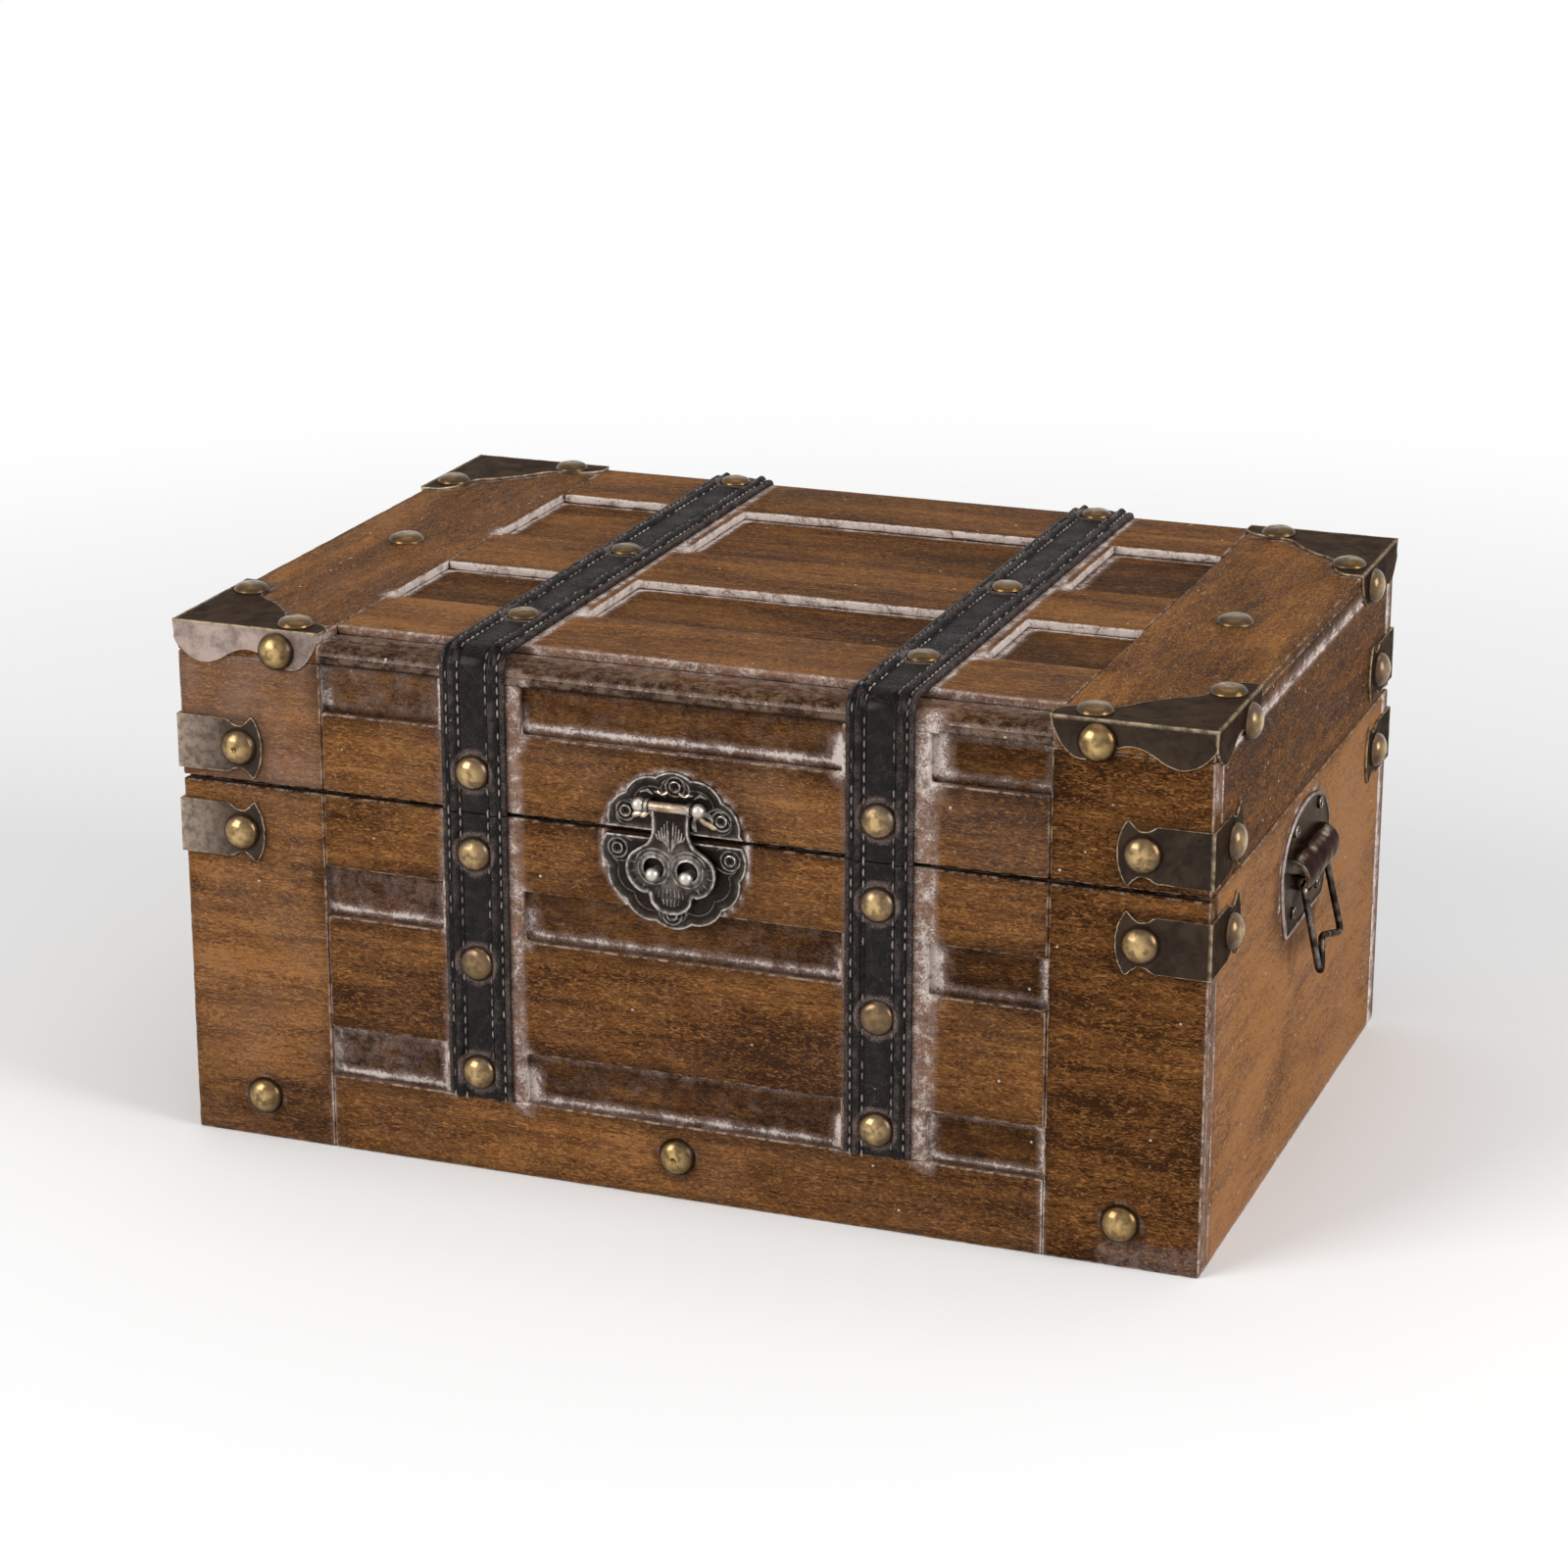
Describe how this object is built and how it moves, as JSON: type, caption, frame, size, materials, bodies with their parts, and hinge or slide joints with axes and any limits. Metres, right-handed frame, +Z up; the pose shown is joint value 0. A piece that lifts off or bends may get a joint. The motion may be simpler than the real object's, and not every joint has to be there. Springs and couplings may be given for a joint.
{
  "type": "treasure chest",
  "caption": "Small wooden treasure chest with a planked front and lid, leather straps, stamped metal corners, a hasp latch, swinging side handles and a lid hinged at the back.",
  "frame": {"origin": "centre of the underside, on the surface that the chest stands on", "axes": "+X to the right seen from the front, +Y towards the hinges at the back, +Z up; the latch is on the -Y side"},
  "size_m": [0.3456, 0.234, 0.1703],
  "materials": {
    "brown_wood": "satin brown stain over plain grain, whitewash left in joints and along edges",
    "dark_wood": "dark stain in the pockets between the planks and inside the box",
    "black_leather": "black grained leather with pale stitching",
    "antique_brass": "domed antique brass, dark at the rim and bright on the crown",
    "dark_bronze": "dark bronze patina with pale worn edges",
    "dark_pewter": "dark pewter with a bright raised rim"
  },
  "bodies": {
    "chest": {"base_board": "dark_wood", "body_side_left": "brown_wood", "body_side_right": "brown_wood", "body_back_board": "brown_wood", "body_front_board": "dark_wood", "body_front_stile_left": "brown_wood", "body_front_stile_right": "brown_wood", "body_bottom_rail": "brown_wood", "body_middle_plank": "brown_wood", "body_upper_plank": "brown_wood", "body_strap_front_left": "black_leather", "body_strap_front_right": "black_leather", "body_strap_back_left": "black_leather", "body_strap_back_right": "black_leather", "body_corner_wrap_front_left": "dark_bronze", "body_corner_wrap_front_right": "dark_bronze", "body_corner_wrap_rear_left": "dark_bronze", "body_corner_wrap_rear_right": "dark_bronze", "front_stud_left": "antique_brass", "front_stud_centre": "antique_brass", "front_stud_right": "antique_brass", "latch_lower_plate": "dark_pewter", "handle_plate_left": "dark_bronze", "handle_plate_right": "dark_bronze", "hinge_body_leaf_left": "dark_bronze", "hinge_body_leaf_right": "dark_bronze"},
    "lid": {"lid_top_board": "dark_wood", "lid_edge_slat": "brown_wood", "lid_front_board": "dark_wood", "lid_back_board": "brown_wood", "lid_side_left": "brown_wood", "lid_side_right": "brown_wood", "lid_front_stile_left": "brown_wood", "lid_front_stile_right": "brown_wood", "lid_end_board_left": "brown_wood", "lid_end_board_right": "brown_wood", "lid_front_plank": "brown_wood", "top_plank_front": "brown_wood", "top_plank_middle": "brown_wood", "top_plank_rear": "brown_wood", "lid_strap_left": "black_leather", "lid_strap_right": "black_leather", "lid_corner_bracket_front_left": "dark_bronze", "lid_corner_bracket_front_right": "dark_bronze", "lid_corner_bracket_rear_left": "dark_bronze", "lid_corner_bracket_rear_right": "dark_bronze", "lid_corner_wrap_front_left": "dark_bronze", "lid_corner_wrap_front_right": "dark_bronze", "lid_corner_wrap_rear_left": "dark_bronze", "lid_corner_wrap_rear_right": "dark_bronze", "top_stud_left": "antique_brass", "top_stud_right": "antique_brass", "latch_upper_plate": "dark_pewter", "latch_pin": "antique_brass", "hinge_lid_leaf_left": "dark_bronze", "hinge_lid_leaf_right": "dark_bronze"},
    "hasp": {"hasp": "dark_pewter"},
    "bail_left": {"bail_left": "dark_bronze"},
    "bail_right": {"bail_right": "dark_bronze"}
  },
  "joints": [
    {"name": "lid_hinge", "type": "hinge", "parent": "chest", "child": "lid", "pos_m": [0, 0.1138, 0.1158], "axis": [-1, 0, 0], "range_deg": [0, 105]},
    {"name": "hasp_hinge", "type": "hinge", "parent": "lid", "child": "hasp", "pos_m": [0, -0.1156, 0.1258], "axis": [-1, 0, 0], "range_deg": [0, 165]},
    {"name": "bail_left_swing", "type": "hinge", "parent": "chest", "child": "bail_left", "pos_m": [-0.1656, 0, 0.0885], "axis": [0, 1, 0], "range_deg": [0, 65]},
    {"name": "bail_right_swing", "type": "hinge", "parent": "chest", "child": "bail_right", "pos_m": [0.1656, 0, 0.0885], "axis": [0, -1, 0], "range_deg": [0, 65]}
  ]
}
